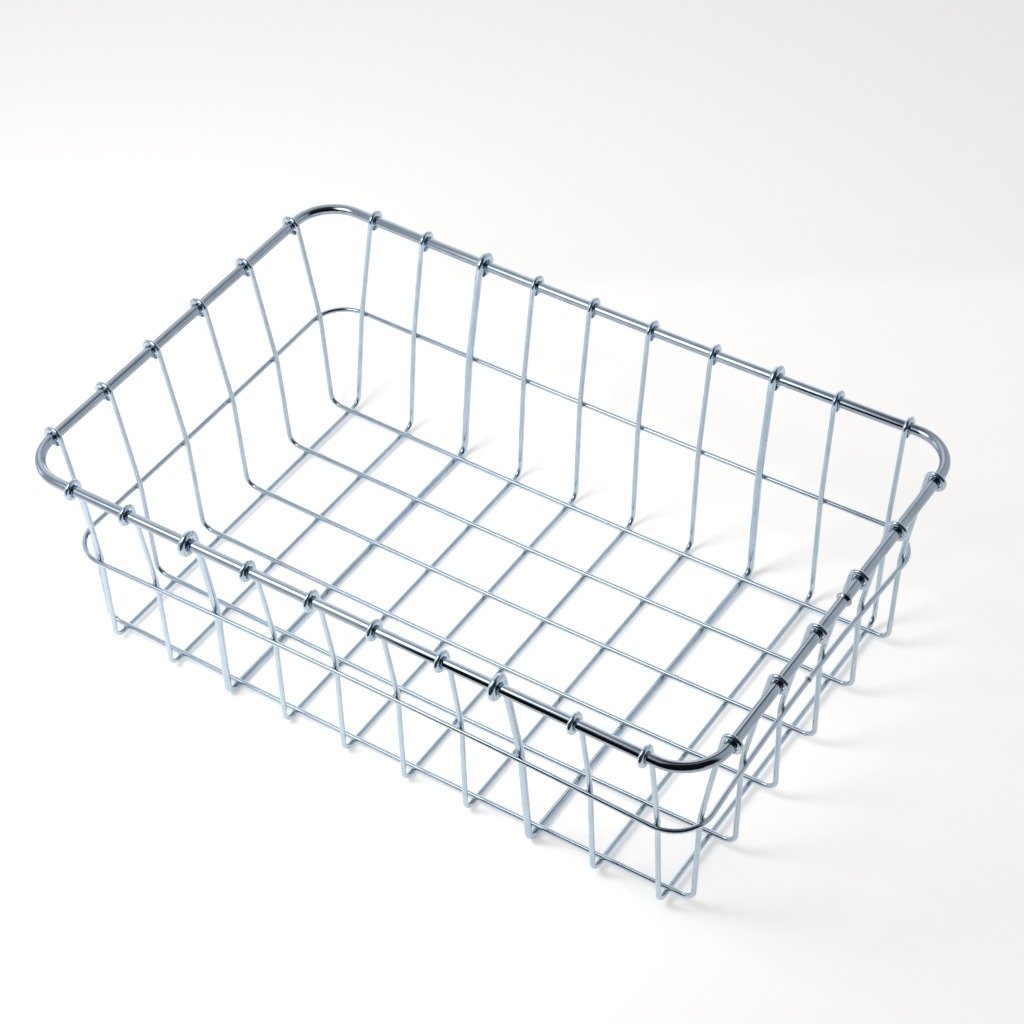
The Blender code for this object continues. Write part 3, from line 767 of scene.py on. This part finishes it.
# %% [markdown]
# ## From arrays to a piece
#
# One function turns the arrays of a wire and its beads into a mesh. It also works out how near
# each point is to a weld, for the tint of the finish, names the piece after the CAD node that it
# stands for and hides that node, hangs it on the body it rides on, and gives it the plate of its
# slot. A bead has no length to run along, so its finish is laid on flat, along two slanting
# directions in space.

# %% Piece from arrays
HEAT_REACH = 0.0022
# So many points at a time are compared with the welds, which spares memory.
POINTS_AT_A_TIME = 20000
BEAD_WRAP = np.array([[1.0, 0.0], [0.6, 0.8], [0.0, 1.0]])


def weld_heat(points, welds):
    """How hot each point became: the power of e to minus the square of its distance to the
    nearest weld over the reach of the heat."""
    away = [np.linalg.norm(points[start:start + POINTS_AT_A_TIME, None] - welds[None], axis=2).min(axis=1)
            for start in range(0, len(points), POINTS_AT_A_TIME)]
    return np.exp(-(np.concatenate(away) / HEAT_REACH) ** 2).astype(np.float32)


def make_piece(node, slot, tube, beads, welds):
    """The mesh of one wire with its weld beads, in place of that CAD node."""
    vertices, faces, caps, corners = tube
    shells = [vertices] + [bead[0] for bead in beads]
    starts = np.cumsum([0] + [len(shell) for shell in shells])
    points = np.vstack(shells)
    bead_faces = [(group + start).tolist() for bead, start in zip(beads, starts[1:]) for group in bead[1:]]
    every_face = faces.tolist() + [list(cap) for cap in caps]
    every_face += [face for group in bead_faces for face in group]
    data = bpy.data.meshes.new("plated_" + node)
    data.from_pydata(points, [], every_face)
    corner_point = np.zeros(len(data.loops), np.int64)
    data.loops.foreach_get("vertex_index", corner_point)
    wrapped = points[corner_point] @ BEAD_WRAP
    wrapped[:len(corners)] = corners
    data.uv_layers.new(name="wire").data.foreach_set("uv", wrapped.ravel())
    data.attributes.new("weld_heat", "FLOAT", "POINT").data.foreach_set("value", weld_heat(points, welds))
    smooth = np.ones(len(data.polygons), bool)
    smooth[len(faces):len(faces) + len(caps)] = False
    data.polygons.foreach_set("use_smooth", smooth)
    data.materials.append(PLATES[slot])
    data.validate()
    piece = bpy.data.objects.new("plated_" + node, data)
    bpy.context.scene.collection.objects.link(piece)
    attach(piece, "root")
    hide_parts(node)
    return piece


two_millimetres_off = weld_heat(np.array([[0.002, 0.0, 0.0]]), np.zeros((1, 3)))
print("heat that reached 2 mm from a weld", round(float(two_millimetres_off[0]), 2))

# %% [markdown]
# ## Where the welds are
#
# The cross wires run under the long wires, so the sixty welds of the floor lie between the tops
# of the first and the undersides of the second. Thirty-two more hold the band to the outside of
# the walls. The cross wires lie a little askew and lean in their walls, so the places are read
# from their middle lines instead of being typed in.

# %% Weld places
# Between these heights a wire has left the floor and hasn't reached its hook.
IN_THE_WALL = (0.010, 0.9 * RIM_HEIGHT)


def place_at_band(line, out_axis, outwards):
    """Place along the rim where a wall wire passes the band, between the points of its line."""
    height = line[:, 2]
    wall = line[(line[:, out_axis] * outwards > 0) & (height > IN_THE_WALL[0]) & (height < IN_THE_WALL[1])]
    wall = wall[np.argsort(wall[:, 2])]
    return float(np.interp(BAND_HEIGHT, wall[:, 2], wall[:, 1 - out_axis]))


def floor_welds(number):
    """The ten places where that long wire lies on the cross wires."""
    crossings = floor_crossings(LONG_PLACES[number])
    under = crossings[:, 1] - (THIN_WIRE + WELD_GAP) / 2
    return np.column_stack([crossings[:, 0], np.full(CROSS_COUNT, LONG_PLACES[number]), under])


def band_welds():
    """The places where the band meets the walls: those it faces along Y, then along X."""
    along_y, along_x = [], []
    for side, depth in ((-1, BAND_BOW_FRONT), (1, BAND_BOW_BACK)):
        places = np.array([place_at_band(line, 1, side) for line, _ in CROSS_LINES.values()])
        out = LONG_WALL_WAIST - drawn_in(places, BAND_REACH_ALONG, depth) + WELD_GAP / 2
        along_y.append(np.column_stack([places, side * out, np.full(CROSS_COUNT, BAND_HEIGHT)]))
    for side, depth in ((-1, BAND_BOW_LEFT), (1, BAND_BOW_RIGHT)):
        places = np.array([place_at_band(line, 0, side) for line, _ in LONG_LINES.values()])
        out = END_WALL_WAIST - drawn_in(places, BAND_REACH_ACROSS, depth) + WELD_GAP / 2
        along_x.append(np.column_stack([side * out, places, np.full(LONG_COUNT, BAND_HEIGHT)]))
    return np.vstack(along_y), np.vstack(along_x)


FLOOR_WELDS = {number: floor_welds(number) for number in LONG_LINES}
BAND_WELDS_Y, BAND_WELDS_X = band_welds()
print("welds on the floor", sum(map(len, FLOOR_WELDS.values())),
      "and on the band", len(BAND_WELDS_Y) + len(BAND_WELDS_X))

# %% [markdown]
# ## The wires of the grid
#
# Each cross wire is one length from hook to hook. The direction across its plane is X, and for
# the long wires it is Y. The floor beads are made with the long wire that lies on them, because
# they were squeezed out from under it.

# %% Cross wires
ALONG_X, ALONG_Y, ALONG_Z = np.eye(3)

cross_welds = np.vstack([*FLOOR_WELDS.values(), BAND_WELDS_Y])
for number, (line, wire) in CROSS_LINES.items():
    heavy = number in HEAVY_NUMBERS
    drawn, radii = cut_ends(subdivided(line), wire / 2)
    tube = wire_surface(drawn, radii, ALONG_X, HEAVY_SIDES if heavy else THIN_SIDES, closed=False)
    near = cross_welds[np.abs(cross_welds[:, 0] - line[:, 0].mean()) < CROSS_PITCH / 2]
    node = f"heavy_cross_wire_{number}" if heavy else f"cross_wire_{number}"
    make_piece(node, "heavy_wire_zinc" if heavy else "cross_wire_zinc", tube, [], near)
print("cross wires", len(CROSS_LINES), "of them heavy", len(HEAVY_NUMBERS))

# %% Long wires
for number, (line, wire) in LONG_LINES.items():
    drawn, radii = cut_ends(subdivided(line), wire / 2)
    tube = wire_surface(drawn, radii, ALONG_Y, THIN_SIDES, closed=False)
    own = FLOOR_WELDS[number]
    near = np.vstack([own, BAND_WELDS_X[np.abs(BAND_WELDS_X[:, 1] - own[0, 1]) < LONG_PITCH / 2]])
    make_piece(f"long_wire_{number}", "long_wire_zinc", tube, [bead_surface(own, ALONG_Z)], near)
print("long wires", len(LONG_LINES))

# %% [markdown]
# ## The two loops
#
# The rim and the band are each a straight length bent to a rectangle with round corners and
# closed by a butt weld: the ends are pressed together while hot, and metal wells up in a ring.
# Both rings are on the right side. The ring could be a piece of its own, but it is the same
# metal, so the radius of the tube swells there by half a cosine wave and falls back again.

# %% Rim and band
BOW_POINTS, RING_POINTS = 41, 15
# Each butt weld: its place along the right side, and the diameter and length of its ring.
RIM_BUTT_WELD, BAND_BUTT_WELD = (0.0040, 0.0076, 0.0036), (0.0015, 0.0036, 0.0040)


def loop_line(half_length, half_width, corner, height, bows, weld_at, weld_length):
    """Middle line of a loop, from its butt weld on the right side round by the back, and the
    share of the weld's swelling at each point: half of one plus the cosine across the ring.
    Each side is drawn in by its own bow, which fades to nothing where its corners begin."""
    flat, swelling = [], []
    for quarter, depth in enumerate(bows):
        outward, onward = turned(ALONG_X[:2], np.array([quarter, quarter + 1]) * math.pi / 2)
        out, across = (half_width, half_length) if quarter % 2 else (half_length, half_width)
        reach = across - corner
        places = np.linspace(-reach, reach, BOW_POINTS)
        if quarter == 0:
            ring = weld_at + np.linspace(-0.5, 0.5, RING_POINTS) * weld_length
            places = np.sort(np.concatenate([places[np.abs(places - weld_at) > weld_length / 2], ring]))
        across_ring = np.clip((places - weld_at) / (weld_length / 2), -1.0, 1.0)
        swelling.append((1 + np.cos(math.pi * across_ring)) / 2 if quarter == 0 else np.zeros(len(places)))
        flat.append(outward * (out - bow(places, reach, depth))[:, None] + onward * places[:, None])
        centre = outward * (out - corner) + onward * reach
        bend = arc(centre, centre + outward * corner, math.pi / 2)[1:-1]
        flat.append(bend)
        swelling.append(np.zeros(len(bend)))
    flat, swelling = np.vstack(flat), np.concatenate(swelling)
    return np.column_stack([flat, np.full(len(flat), height)]), swelling


def make_loop(node, slot, rod, sides, shape, bows, butt_weld, beads, welds):
    """A closed rod with the ring of its butt weld. shape is half its length and width, the
    radius of its corners and its height, and bows are those of its right, back, left and front."""
    weld_at, ring, ring_length = butt_weld
    line, swelling = loop_line(*shape, bows, weld_at, ring_length)
    radii = rod / 2 + (ring - rod) / 2 * swelling
    tube = wire_surface(line, radii, ALONG_Z, sides, closed=True)
    weld_out = line[swelling.argmax(), 0]
    own = np.array([[weld_out, weld_at + side * ring_length / 2, shape[3]] for side in (-1, 1)])
    return make_piece(node, slot, tube, beads, np.vstack([own, welds]))


make_loop("rim", "rim_zinc", RIM_ROD, RIM_SIDES, (RIM_LENGTH / 2, RIM_WIDTH / 2, RIM_CORNER, RIM_HEIGHT),
          (0.0, RIM_BOW_BACK, 0.0, 0.0), RIM_BUTT_WELD, [], np.zeros((0, 3)))
make_loop("mid_band", "band_zinc", THIN_WIRE, THIN_SIDES,
          (BAND_HALF_LENGTH, BAND_HALF_WIDTH, BAND_CORNER, BAND_HEIGHT),
          (BAND_BOW_RIGHT, BAND_BOW_BACK, BAND_BOW_LEFT, BAND_BOW_FRONT), BAND_BUTT_WELD,
          [bead_surface(BAND_WELDS_Y, ALONG_Y), bead_surface(BAND_WELDS_X, ALONG_X)],
          np.vstack([BAND_WELDS_Y, BAND_WELDS_X]))
